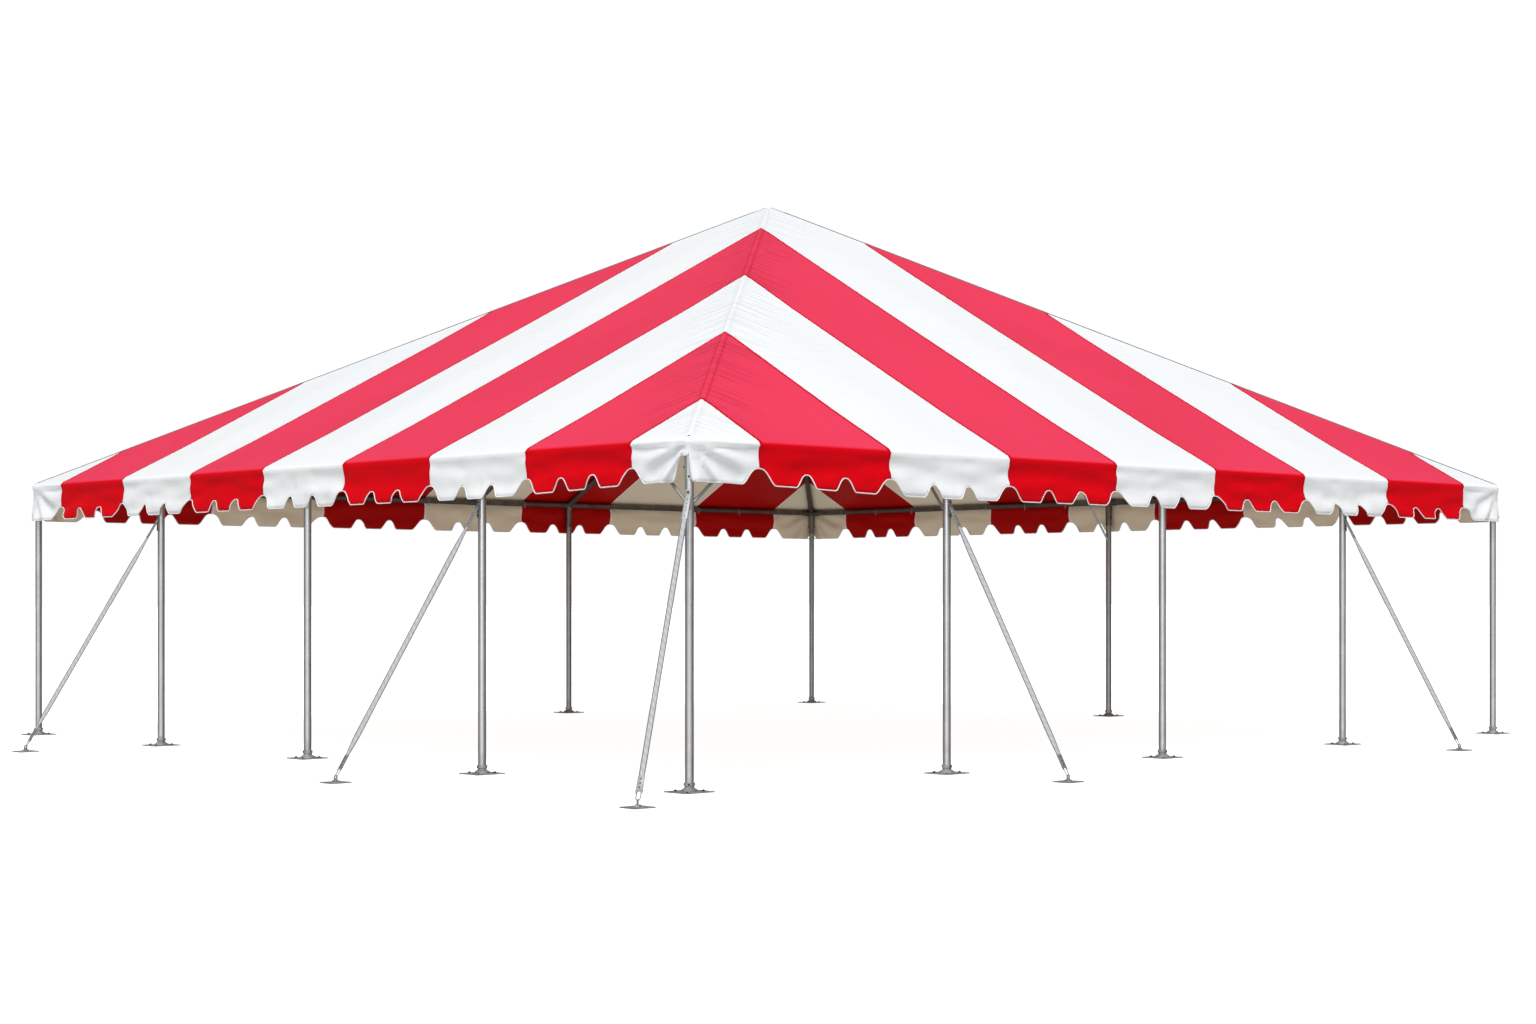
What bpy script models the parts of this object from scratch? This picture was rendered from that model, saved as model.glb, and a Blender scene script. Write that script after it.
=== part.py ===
"""Square frame tent, 40 ft a side: a striped pyramid canopy with a scalloped valance on a steel pipe frame.

Metres, +Z up. The ground is z = 0. The front is -Y and the left is -X. Straps brace only the front and
the left side, so the middle of the whole part lies beside the middle of the tent, and the tent's own
centre is an empty that is set off from the origin by CENTRE_OFFSET along X and Y.
"""

from math import atan2, cos, pi, sin, sqrt

import bmesh
import bpy
from mathutils import Matrix, Vector

# The tent's main sizes
FOOT_LENGTH = 0.3048
SIDE = 40 * FOOT_LENGTH
HALF = SIDE / 2
BAY = 10 * FOOT_LENGTH
STRIPE = 5 * FOOT_LENGTH
EAVE_HEIGHT = 2.925
PEAK_HEIGHT = 6.21
VALANCE_BOTTOM = 2.505

# Pipes and their fittings
PIPE_RADIUS = 0.0365
SLEEVE_RADIUS = 0.0425
LEG_SOCKET_RADIUS = 0.042
RAFTER_SOCKET_RADIUS = 0.041
SOCKET_LENGTH = 0.16
SLEEVE_HALF_LENGTH = 0.128
SLEEVE_BOTTOM = 2.58
CROWN_RADIUS = 0.075
CROWN_SOCKET_LENGTH = 0.2
CROWN_DEPTH = 0.09

# Knee braces, from two of the legs to their rafters, and from the near corner's leg to both beams
BRACE_RADIUS = 0.014
BRACE_FOOT = 2.36
BRACE_ALONG_BEAM = 0.62
BRACE_UP_RAFTER = 0.8
BRACE_SIDES = 10

# Canopy
CLOTH = 0.012
WIDE_NOTCH = (0.38, 0.14)
NARROW_NOTCH = (0.245, 0.117)
NOTCH_OFFSET = 0.225
NOTCH_ROUNDNESS = 1.35
NOTCH_STEPS = 10

# Feet under the legs
PLATE_SIDE = 0.3
PLATE_THICKNESS = 0.01
PLATE_BEVEL = 0.002
BOSS_RADIUS = 0.068
BOSS_HEIGHT = 0.022
BOSS_SHOULDER = 0.018
FOOT_SOCKET_RADIUS = 0.041
FOOT_RING_RADIUS = 0.048
FOOT_RING_BOTTOM = 0.056
FOOT_HEIGHT = 0.08

# Bracing straps and their ground anchors
STRAP_REACH = 1.5
STRAP_TOP = 2.45
STRAP_WIDTH = 0.05
STRAP_THICKNESS = 0.005
HANGER_WIDTH = 0.048
HANGER_THICKNESS = 0.004
HANGER_BOTTOM = 2.33
HANGER_TOP = 2.5
FORK_WIDTH = 0.056
FORK_THICKNESS = 0.01
FORK_LENGTH = 0.13
LINK_BAR = 0.0045
LINK_WIDTH = 0.043
LINK_LENGTH = 0.088
ANCHOR_SIDE = 0.2
LUG_THICKNESS = 0.008
LUG_WIDTH = 0.036
LUG_BASE_WIDTH = 0.05
LUG_BASE_THICKNESS = 0.04
LUG_BASE_HEIGHT = 0.016
LUG_SINK = 0.001
EYE_HEIGHT = 0.052
EYE_RADIUS = 0.008

GAP = 0.0003
MERGE_WITHIN = 0.00002
CUT_PAST = 0.1
SHARP_ANGLE = pi / 5
PIPE_SIDES = 24
FITTING_SIDES = 16
LINK_STEPS = 7

# Worked out from the sizes above
SLOPE = (PEAK_HEIGHT - EAVE_HEIGHT) / HALF
PITCH = atan2(PEAK_HEIGHT - EAVE_HEIGHT, HALF)
CLOTH_DROP = CLOTH / cos(PITCH)
LEG_LINE = HALF - CLOTH - GAP - SLEEVE_RADIUS
CROWN_HEIGHT = PEAK_HEIGHT - CLOTH_DROP - (SLEEVE_RADIUS + GAP) / cos(PITCH)
BEAM_HEIGHT = CROWN_HEIGHT - SLOPE * LEG_LINE
CENTRE_OFFSET = (STRAP_REACH + ANCHOR_SIDE / 2 - PLATE_SIDE / 2) / 2

# Each side's turn about Z from the front, the places of its legs along it, the places whose rafters have
# a knee brace, and the ends, -1 or 1, whose corner leg has a knee brace up to the side's beam.
# A place is counted along the side's own X, which runs to the right seen from outside.
SIDES = {
    "front": {"turn": 0, "legs": {1: -BAY, 2: 0, 3: BAY}, "knees": [-BAY], "corner_knees": [-1]},
    "right": {"turn": 90, "legs": {1: 0}, "knees": [0], "corner_knees": []},
    "back": {"turn": 180, "legs": {1: -BAY / 2}, "knees": [], "corner_knees": []},
    "left": {"turn": -90, "legs": {1: BAY, 2: 0, 3: -BAY}, "knees": [], "corner_knees": [1]},
}
CORNERS = {"front_left": 0, "front_right": 90, "back_right": 180, "back_left": 270}

# The legs that have a brace strap, each with the strap's turn about Z from the front, and the twist of
# its webbing about its own length
BRACED = {
    "front_left": {"turn": -54, "twist": 0},
    "left_1": {"turn": -90, "twist": 45},
    "left_3": {"turn": -90, "twist": 45},
    "front_1": {"turn": 0, "twist": -45},
    "front_3": {"turn": 0, "twist": -45},
}


def clear_scene():
    for ob in list(bpy.data.objects):
        bpy.data.objects.remove(ob, do_unlink=True)


def material(name, colour, roughness, metallic):
    made = bpy.data.materials.new(name)
    made.use_nodes = True
    shader = made.node_tree.nodes["Principled BSDF"]
    shader.inputs["Base Color"].default_value = (*colour, 1)
    shader.inputs["Roughness"].default_value = roughness
    shader.inputs["Metallic"].default_value = metallic
    return made


def mesh_from(bm, name):
    bmesh.ops.recalc_face_normals(bm, faces=bm.faces)
    mesh = bpy.data.meshes.new(name)
    bm.to_mesh(mesh)
    bm.free()
    return mesh


def place(name, mesh, look, parent, turn=0.0, at=(0, 0, 0), smooth=True):
    """A named object under the tent's centre, turned about Z by so many degrees."""
    ob = bpy.data.objects.new(name, mesh)
    bpy.context.scene.collection.objects.link(ob)
    ob.parent = parent
    ob.location = at
    ob.rotation_euler.z = turn * pi / 180
    if not mesh.materials:
        mesh.materials.append(look)
        if smooth:
            mesh.shade_smooth()
            mesh.set_sharp_from_angle(angle=SHARP_ANGLE)
    return ob


def turned_by(degrees, point):
    return Matrix.Rotation(degrees * pi / 180, 4, "Z") @ Vector(point)


def rod(start, end, radius, sides=PIPE_SIDES):
    """A closed round bar between two points."""
    start, end = Vector(start), Vector(end)
    along = end - start
    turn = along.to_track_quat("Z", "Y").to_matrix().to_4x4()
    bm = bmesh.new()
    bmesh.ops.create_cone(
        bm,
        cap_ends=True,
        segments=sides,
        radius1=radius,
        radius2=radius,
        depth=along.length,
        matrix=Matrix.Translation((start + end) / 2) @ turn,
    )
    return mesh_from(bm, "rod")


def block(size, matrix, bevel=0.0):
    """A closed box of the given size, placed by a matrix."""
    bm = bmesh.new()
    bmesh.ops.create_cube(bm, size=1, matrix=matrix @ Matrix.Diagonal((*size, 1)))
    if bevel:
        bmesh.ops.bevel(bm, geom=bm.edges[:], offset=bevel, segments=1, affect="EDGES")
    return mesh_from(bm, "block")


def turned_ring(profile, sides):
    """A ring made by turning a closed outline of (radius, height) points once around Z."""
    bm = bmesh.new()
    points = [bm.verts.new((r, 0, z)) for r, z in profile]
    edges = [bm.edges.new((a, b)) for a, b in zip(points, points[1:] + points[:1])]
    bmesh.ops.spin(
        bm,
        geom=points + edges,
        cent=(0, 0, 0),
        axis=(0, 0, 1),
        angle=2 * pi,
        steps=sides,
        use_merge=True,
    )
    bmesh.ops.remove_doubles(bm, verts=bm.verts, dist=MERGE_WITHIN)
    return mesh_from(bm, "ring")


def oval_ring(centre, along, across, length, width, bar, steps):
    """A welded oval link: a round bar bent round two ends, in an odd number of steps each, so that
    the middle of each end is a short straight."""
    centre, along, across = Vector(centre), Vector(along), Vector(across)
    radius = width / 2
    straight = length / 2 - radius
    curve = bpy.data.curves.new("link", "CURVE")
    curve.dimensions = "3D"
    curve.bevel_depth = bar
    curve.bevel_resolution = 2
    spline = curve.splines.new("POLY")
    count = 2 * (steps + 1)
    spline.points.add(count - 1)
    for i in range(count):
        low = i > steps
        angle = pi * (i - (1 if low else 0)) / steps
        middle = centre + along * (-straight if low else straight)
        point = middle + across * (radius * cos(angle)) + along * (radius * sin(angle))
        spline.points[i].co = (*point, 1)
    spline.use_cyclic_u = True
    ob = bpy.data.objects.new("link", curve)
    bpy.context.scene.collection.objects.link(ob)
    bpy.context.view_layer.update()
    mesh = bpy.data.meshes.new_from_object(ob.evaluated_get(bpy.context.evaluated_depsgraph_get()))
    bpy.data.objects.remove(ob, do_unlink=True)
    return mesh


def joined(name, shapes, cutters=()):
    """One closed mesh from shapes that run into each other, less the cutters."""
    first = bpy.data.objects.new(name, shapes[0])
    bpy.context.scene.collection.objects.link(first)
    helpers = []
    for operation, meshes in (("UNION", shapes[1:]), ("DIFFERENCE", cutters)):
        for mesh in meshes:
            helper = bpy.data.objects.new(name + "_helper", mesh)
            bpy.context.scene.collection.objects.link(helper)
            helpers.append(helper)
            cut = first.modifiers.new(operation.lower(), "BOOLEAN")
            cut.operation = operation
            cut.solver = "EXACT"
            cut.object = helper
    bpy.context.view_layer.update()
    evaluated = first.evaluated_get(bpy.context.evaluated_depsgraph_get())
    mesh = bpy.data.meshes.new_from_object(evaluated)
    mesh.name = name
    for ob in helpers + [first]:
        bpy.data.objects.remove(ob, do_unlink=True)
    bm = bmesh.new()
    bm.from_mesh(mesh)
    bmesh.ops.remove_doubles(bm, verts=bm.verts, dist=MERGE_WITHIN)
    bmesh.ops.dissolve_degenerate(bm, edges=bm.edges, dist=MERGE_WITHIN)
    bm.to_mesh(mesh)
    bm.free()
    return mesh


def leg_places():
    """Every leg's name and its place on the ground."""
    places = {}
    for corner, turn in CORNERS.items():
        places[corner] = turned_by(turn, (-LEG_LINE, -LEG_LINE, 0))
    for side, facts in SIDES.items():
        for number, along in facts["legs"].items():
            places[f"{side}_{number}"] = turned_by(facts["turn"], (along, -LEG_LINE, 0))
    return places


def up_slope(distance, along=0.0):
    """A point on a rafter's axis of the front side, so far from the beam along the slope."""
    return (along, -LEG_LINE + distance * cos(PITCH), BEAM_HEIGHT + distance * sin(PITCH))


def brace(foot, top):
    """A thin bar from the axis of a leg up to a pipe, and the cutter that ends it at the leg's side."""
    low, high = Vector(foot), Vector(foot)
    low.z -= PIPE_RADIUS * 2
    high.z += PIPE_RADIUS * 2
    return rod(foot, top, BRACE_RADIUS, BRACE_SIDES), rod(low, high, PIPE_RADIUS + GAP)


def rafter_brace(along=0.0):
    """The brace between a side's leg and its rafter, in the front side's frame."""
    return brace((along, -LEG_LINE, BRACE_FOOT), up_slope(BRACE_UP_RAFTER, along))


def make_leg():
    return rod((0, 0, PLATE_THICKNESS + GAP), (0, 0, SLEEVE_BOTTOM - GAP), PIPE_RADIUS)


def make_foot():
    """A base plate with a turned boss and a socket that the leg drops into."""
    inside = (PIPE_RADIUS + GAP) / cos(pi / FITTING_SIDES)
    profile = [
        (inside, PLATE_THICKNESS / 2),
        (BOSS_RADIUS, PLATE_THICKNESS / 2),
        (BOSS_RADIUS, BOSS_HEIGHT),
        (FOOT_SOCKET_RADIUS, BOSS_HEIGHT + BOSS_SHOULDER),
        (FOOT_SOCKET_RADIUS, FOOT_RING_BOTTOM),
        (FOOT_RING_RADIUS, FOOT_RING_BOTTOM),
        (FOOT_RING_RADIUS, FOOT_HEIGHT),
        (inside, FOOT_HEIGHT),
    ]
    plate = block(
        (PLATE_SIDE, PLATE_SIDE, PLATE_THICKNESS),
        Matrix.Translation((0, 0, PLATE_THICKNESS / 2)),
        PLATE_BEVEL,
    )
    return joined("foot", [plate, turned_ring(profile, FITTING_SIDES)])


def make_corner_fitting():
    """A four-way fitting in the frame of the front left corner: two beams, a hip rafter and the leg."""
    centre = Vector((-LEG_LINE, -LEG_LINE, BEAM_HEIGHT))
    uphill = Vector((1, 1, SLOPE)).normalized()
    ends = [
        (centre + Vector((SOCKET_LENGTH, 0, 0)), SLEEVE_RADIUS),
        (centre + Vector((0, SOCKET_LENGTH, 0)), SLEEVE_RADIUS),
        (centre + uphill * SOCKET_LENGTH, RAFTER_SOCKET_RADIUS),
        (Vector((-LEG_LINE, -LEG_LINE, SLEEVE_BOTTOM)), LEG_SOCKET_RADIUS),
    ]
    bm = bmesh.new()
    bmesh.ops.create_uvsphere(
        bm,
        u_segments=FITTING_SIDES,
        v_segments=FITTING_SIDES // 2,
        radius=SLEEVE_RADIUS,
        matrix=Matrix.Translation(centre),
    )
    shapes = [mesh_from(bm, "ball")]
    shapes += [rod(centre, end, radius, FITTING_SIDES) for end, radius in ends]
    return joined("corner_fitting", shapes)


def make_beam(side):
    """A side's eave pipe, with a sleeve and sockets at each leg and at the middle, where a rafter stands."""
    reach = LEG_LINE - SOCKET_LENGTH - GAP
    shapes = [rod(up_slope(0, -reach), up_slope(0, reach), PIPE_RADIUS, FITTING_SIDES)]
    legs = SIDES[side]["legs"].values()
    for along in sorted({*legs, 0}):
        sleeve_ends = [up_slope(0, along + step * SLEEVE_HALF_LENGTH) for step in (-1, 1)]
        shapes.append(rod(*sleeve_ends, SLEEVE_RADIUS, FITTING_SIDES))
        shapes.append(
            rod(up_slope(0, along), up_slope(SOCKET_LENGTH, along), RAFTER_SOCKET_RADIUS, FITTING_SIDES)
        )
        if along in legs:
            low = (along, -LEG_LINE, SLEEVE_BOTTOM)
            shapes.append(rod(up_slope(0, along), low, LEG_SOCKET_RADIUS, FITTING_SIDES))
    cutters = []
    for end in SIDES[side]["corner_knees"]:
        top = up_slope(0, end * (LEG_LINE - BRACE_ALONG_BEAM))
        bar, cutter = brace((end * LEG_LINE, -LEG_LINE, BRACE_FOOT), top)
        shapes.append(bar)
        cutters.append(cutter)
    return joined("eave_beam_" + side, shapes, cutters)


def make_main_rafter(side):
    """The pipe from the middle of a side up to the crown, in the front side's frame."""
    length = LEG_LINE / cos(PITCH)
    start = up_slope(SOCKET_LENGTH + GAP)
    end = up_slope(length - CROWN_SOCKET_LENGTH - GAP)
    pipe = rod(start, end, PIPE_RADIUS, FITTING_SIDES)
    if 0 not in SIDES[side]["knees"]:
        return pipe
    bar, cutter = rafter_brace()
    return joined("main_rafter_" + side, [pipe, bar], [cutter])


def make_hip_rafter(corner):
    """The pipe up a hip, with the shorter side rafters that it carries and a knee brace of theirs."""
    foot = Vector((-LEG_LINE, -LEG_LINE, BEAM_HEIGHT))
    uphill = Vector((1, 1, SLOPE)).normalized()
    length = LEG_LINE * sqrt(2 + SLOPE**2)
    start = foot + uphill * (SOCKET_LENGTH + GAP)
    end = foot + uphill * (length - CROWN_SOCKET_LENGTH - GAP)
    shapes, cutters = [rod(start, end, PIPE_RADIUS, FITTING_SIDES)], []
    for facts in SIDES.values():
        turn = facts["turn"] - CORNERS[corner]
        for along in facts["legs"].values():
            top = turned_by(turn, (along, -abs(along), CROWN_HEIGHT - SLOPE * abs(along)))
            if along == 0 or top.x > 0 or top.y > 0:
                continue
            low = turned_by(turn, up_slope(SOCKET_LENGTH + GAP, along))
            shapes.append(rod(low, top, PIPE_RADIUS, FITTING_SIDES))
            if along in facts["knees"]:
                bar, cutter = rafter_brace(along)
                for mesh in (bar, cutter):
                    mesh.transform(Matrix.Rotation(turn * pi / 180, 4, "Z"))
                shapes.append(bar)
                cutters.append(cutter)
    return joined("hip_rafter_" + corner, shapes, cutters)


def make_crown():
    """The hub under the peak, with a socket for each main rafter and each hip rafter."""
    middle = Vector((0, 0, CROWN_HEIGHT))
    top = PEAK_HEIGHT - CLOTH_DROP - SLOPE * CROWN_RADIUS - GAP
    shapes = [rod((0, 0, top - CROWN_DEPTH), (0, 0, top), CROWN_RADIUS, PIPE_SIDES)]
    for turn in (0, 90, 180, 270):
        for flat in (Vector((0, -1, 0)), Vector((-1, -1, 0))):
            down = turned_by(turn, flat + Vector((0, 0, -SLOPE))).normalized()
            end = middle + down * CROWN_SOCKET_LENGTH
            shapes.append(rod(middle, end, RAFTER_SOCKET_RADIUS, FITTING_SIDES))
    return joined("crown", shapes)


def make_roof_panel():
    """A quarter of the pyramid: a flat slab between two hips, mitred there."""
    edge = HALF - GAP
    bm = bmesh.new()
    top = [bm.verts.new(p) for p in ((-edge, -HALF, EAVE_HEIGHT), (edge, -HALF, EAVE_HEIGHT))]
    top.append(bm.verts.new((0, -GAP, PEAK_HEIGHT - SLOPE * GAP)))
    face = bm.faces.new(top)
    low = bmesh.ops.extrude_face_region(bm, geom=[face])
    low = [v for v in low["geom"] if isinstance(v, bmesh.types.BMVert)]
    bmesh.ops.translate(bm, verts=low, vec=(0, 0, -CLOTH_DROP))
    return mesh_from(bm, "roof_panel")


def notches():
    """The centre and the (width, depth) of each notch in the valance's lower edge, from left to right:
    two narrow ones in each whole stripe and a wide one at each border between two stripes."""
    whole_stripes = round(SIDE / STRIPE) - 1
    first_border = -HALF + STRIPE / 2
    found = [(first_border, WIDE_NOTCH)]
    for i in range(whole_stripes):
        middle = first_border + STRIPE * (i + 0.5)
        found.append((middle - NOTCH_OFFSET, NARROW_NOTCH))
        found.append((middle + NOTCH_OFFSET, NARROW_NOTCH))
        found.append((middle + STRIPE / 2, WIDE_NOTCH))
    return found


def make_valance():
    """The hanging strip along a side, with its scalloped lower edge, mitred at the corners."""
    top = EAVE_HEIGHT - CLOTH_DROP - GAP
    edge = HALF - GAP
    outline = [(edge, top), (-edge, top), (-edge, VALANCE_BOTTOM)]
    for centre, (width, depth) in notches():
        for i in range(NOTCH_STEPS + 1):
            t = 2 * i / NOTCH_STEPS - 1
            rise = depth * (1 + cos(pi * abs(t) ** NOTCH_ROUNDNESS)) / 2
            outline.append((centre + t * width / 2, VALANCE_BOTTOM + rise))
    outline.append((edge, VALANCE_BOTTOM))
    bm = bmesh.new()
    face = bm.faces.new([bm.verts.new((x, -HALF, z)) for x, z in outline])
    back = bmesh.ops.extrude_face_region(bm, geom=[face])
    back = [v for v in back["geom"] if isinstance(v, bmesh.types.BMVert)]
    bmesh.ops.translate(bm, verts=back, vec=(0, CLOTH, 0))
    for v in back:
        if abs(v.co.x) > edge - GAP:
            v.co.x -= CLOTH if v.co.x > 0 else -CLOTH
    return mesh_from(bm, "valance")


def strap_line():
    """The middle of the anchor's eye and of the strap's top, in the frame of a leg braced to the front."""
    eye = Vector((0, -STRAP_REACH, EYE_HEIGHT))
    top = Vector((0, -(PIPE_RADIUS + GAP + HANGER_THICKNESS / 2), STRAP_TOP))
    return eye, top


def make_strap(twist):
    """A flat strap from a hanger plate on the leg down to a steel fork and its oval link."""
    eye, top = strap_line()
    along = (top - eye).normalized()
    across = Vector((1, 0, 0))
    slack = EYE_RADIUS * cos(pi / PIPE_SIDES) - LINK_BAR - GAP
    link_low = eye + along * slack
    flat = LINK_WIDTH / 2 * (1 - cos(pi / 2 / LINK_STEPS))
    link_centre = link_low + along * (LINK_LENGTH / 2 - flat)
    fork_low = link_centre + along * (LINK_LENGTH / 2 - flat - LINK_BAR)
    turn = Matrix((across, along.cross(across), along)).transposed().to_4x4()
    fork_centre = fork_low + along * (FORK_LENGTH / 2)
    strap_low = fork_low + along * (FORK_LENGTH / 2)
    strap_centre = (strap_low + top) / 2
    shapes = [
        block(
            (FORK_WIDTH, FORK_THICKNESS, FORK_LENGTH),
            Matrix.Translation(fork_centre) @ turn,
        ),
        block(
            (STRAP_WIDTH, STRAP_THICKNESS, (top - strap_low).length),
            Matrix.Translation(strap_centre) @ turn @ Matrix.Rotation(twist * pi / 180, 4, "Z"),
        ),
        block(
            (HANGER_WIDTH, HANGER_THICKNESS, HANGER_TOP - HANGER_BOTTOM),
            Matrix.Translation((0, top.y, (HANGER_TOP + HANGER_BOTTOM) / 2)),
        ),
        oval_ring(link_centre, along, across, LINK_LENGTH, LINK_WIDTH, LINK_BAR, LINK_STEPS),
    ]
    clearance = rod((0, 0, HANGER_BOTTOM - CUT_PAST), (0, 0, HANGER_TOP + CUT_PAST), PIPE_RADIUS + GAP)
    return joined("guy_strap", shapes, [clearance])


def make_anchor(plate_turn):
    """A ground plate, turned by so many degrees from its strap, with a drilled lug for the strap's link."""
    at = Matrix.Translation((0, -STRAP_REACH, 0))
    plate_at = at @ Matrix.Translation((0, 0, PLATE_THICKNESS / 2))
    plate = block(
        (ANCHOR_SIDE, ANCHOR_SIDE, PLATE_THICKNESS),
        plate_at @ Matrix.Rotation(plate_turn * pi / 180, 4, "Z"),
        PLATE_BEVEL,
    )
    base_top = PLATE_THICKNESS + LUG_BASE_HEIGHT
    base = block(
        (LUG_BASE_THICKNESS, LUG_BASE_WIDTH, LUG_BASE_HEIGHT),
        at @ Matrix.Translation((0, 0, base_top - LUG_BASE_HEIGHT / 2 - LUG_SINK)),
    )
    eye = Vector((0, -STRAP_REACH, EYE_HEIGHT))
    reach = Vector((LUG_THICKNESS / 2, 0, 0))
    head = rod(eye - reach, eye + reach, LUG_WIDTH / 2, FITTING_SIDES)
    neck = block(
        (LUG_THICKNESS, LUG_WIDTH - LUG_SINK, EYE_HEIGHT - PLATE_THICKNESS / 2),
        at @ Matrix.Translation((0, 0, (EYE_HEIGHT + PLATE_THICKNESS / 2) / 2)),
    )
    hole = rod(eye - 3 * reach, eye + 3 * reach, EYE_RADIUS, PIPE_SIDES)
    return joined("guy_anchor", [plate, base, neck, head], [hole])


def build():
    clear_scene()
    steel = material("galvanised_steel", (0.45, 0.47, 0.48), 0.35, 1.0)
    casting = material("grey_casting", (0.33, 0.34, 0.34), 0.45, 1.0)
    cloth = material("canopy_vinyl", (0.9, 0.9, 0.9), 0.35, 0.0)
    stripe = material("valance_vinyl", (0.62, 0.02, 0.03), 0.35, 0.0)
    webbing = material("strap_webbing", (0.72, 0.74, 0.75), 0.6, 0.0)

    centre = bpy.data.objects.new("tent_centre", None)
    bpy.context.scene.collection.objects.link(centre)
    centre.location = (CENTRE_OFFSET, CENTRE_OFFSET, 0)

    places = leg_places()
    leg, foot = make_leg(), make_foot()
    for name, spot in places.items():
        place("leg_" + name, leg, steel, centre, 0, spot)
        place("foot_" + name, foot, casting, centre, 0, spot)

    fitting = make_corner_fitting()
    for corner, turn in CORNERS.items():
        place("corner_fitting_" + corner, fitting, casting, centre, turn)
        place("hip_rafter_" + corner, make_hip_rafter(corner), steel, centre, turn)

    panel, valance = make_roof_panel(), make_valance()
    for side, facts in SIDES.items():
        place("eave_beam_" + side, make_beam(side), steel, centre, facts["turn"])
        place("main_rafter_" + side, make_main_rafter(side), steel, centre, facts["turn"])
        place("roof_panel_" + side, panel, cloth, centre, facts["turn"], smooth=False)
        place("valance_" + side, valance, stripe, centre, facts["turn"], smooth=False)

    place("crown_hub", make_crown(), casting, centre)

    for name, facts in BRACED.items():
        spot, turn = places[name], facts["turn"]
        place("guy_strap_" + name, make_strap(facts["twist"]), webbing, centre, turn, spot)
        place("guy_anchor_" + name, make_anchor(-turn % 90), casting, centre, turn, spot)


build()
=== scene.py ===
from math import atan2, cos, exp, floor, hypot, pi, radians, sin, sqrt, tan

import bmesh
import bpy
from mathutils import Matrix, Vector, noise


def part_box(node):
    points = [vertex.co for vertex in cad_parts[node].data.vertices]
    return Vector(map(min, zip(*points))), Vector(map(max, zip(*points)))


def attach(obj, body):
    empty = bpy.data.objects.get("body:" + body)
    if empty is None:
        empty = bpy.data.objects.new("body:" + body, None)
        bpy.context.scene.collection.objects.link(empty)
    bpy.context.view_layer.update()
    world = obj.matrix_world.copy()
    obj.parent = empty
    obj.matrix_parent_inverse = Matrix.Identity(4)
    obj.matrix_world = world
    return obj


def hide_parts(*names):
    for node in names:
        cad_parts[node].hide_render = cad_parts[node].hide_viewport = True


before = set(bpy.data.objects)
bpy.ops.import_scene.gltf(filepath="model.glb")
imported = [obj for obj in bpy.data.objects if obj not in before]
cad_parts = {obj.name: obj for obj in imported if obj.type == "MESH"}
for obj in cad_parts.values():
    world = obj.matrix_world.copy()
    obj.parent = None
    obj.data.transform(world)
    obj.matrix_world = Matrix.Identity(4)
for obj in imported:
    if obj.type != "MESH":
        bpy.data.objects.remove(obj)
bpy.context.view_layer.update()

# Where the tent is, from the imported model

leg_low, leg_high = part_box("leg_front_left")
far_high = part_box("leg_back_right")[1]
roof_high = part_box("roof_panel_front")[1]
valance_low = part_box("valance_front")[0]

CENTRE = Vector(((leg_low.x + far_high.x) / 2, (leg_low.y + far_high.y) / 2, 0))
HALF = CENTRE.y - valance_low.y
EAVE = 2.925  # the height of the line where the slopes meet the valance
PEAK = roof_high.z
RISE = (PEAK - EAVE) / HALF
PITCH = atan2(PEAK - EAVE, HALF)
LEG_LINE = CENTRE.x - (leg_low.x + leg_high.x) / 2
PIPE_RADIUS = (leg_high.x - leg_low.x) / 2
STRIPE = 2 * HALF / 8
BAY = HALF / 2
TONGUE_END = valance_low.z

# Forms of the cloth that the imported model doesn't have, in metres

CLOTH_THICKNESS = 0.0025
EAVE_ROUND = 0.05
EAVE_ROLL = 0.012
EAVE_TURN = pi / 2 - PITCH
EAVE_TANGENT = EAVE_ROUND * tan(EAVE_TURN / 2)
CORNER_ROUND = 0.045
PEAK_ROUND = 0.02
ARC_ROWS = 4
DROP_ROWS = 10

SIDES = {"front": 0, "right": 90, "back": 180, "left": -90}
CORNERS = {"front_left": 0, "front_right": 90, "back_right": 180, "back_left": -90}


def turned(degrees_round, point):
    """A point of the front side's frame, turned round the tent's middle."""
    return Matrix.Rotation(radians(degrees_round), 4, "Z") @ Vector(point)


def smooth_step(low, high, value):
    """0 below low, 1 above high, and a soft ramp between them."""
    share = min(1.0, max(0.0, (value - low) / (high - low)))
    return share * share * (3 - 2 * share)


# Materials


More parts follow.
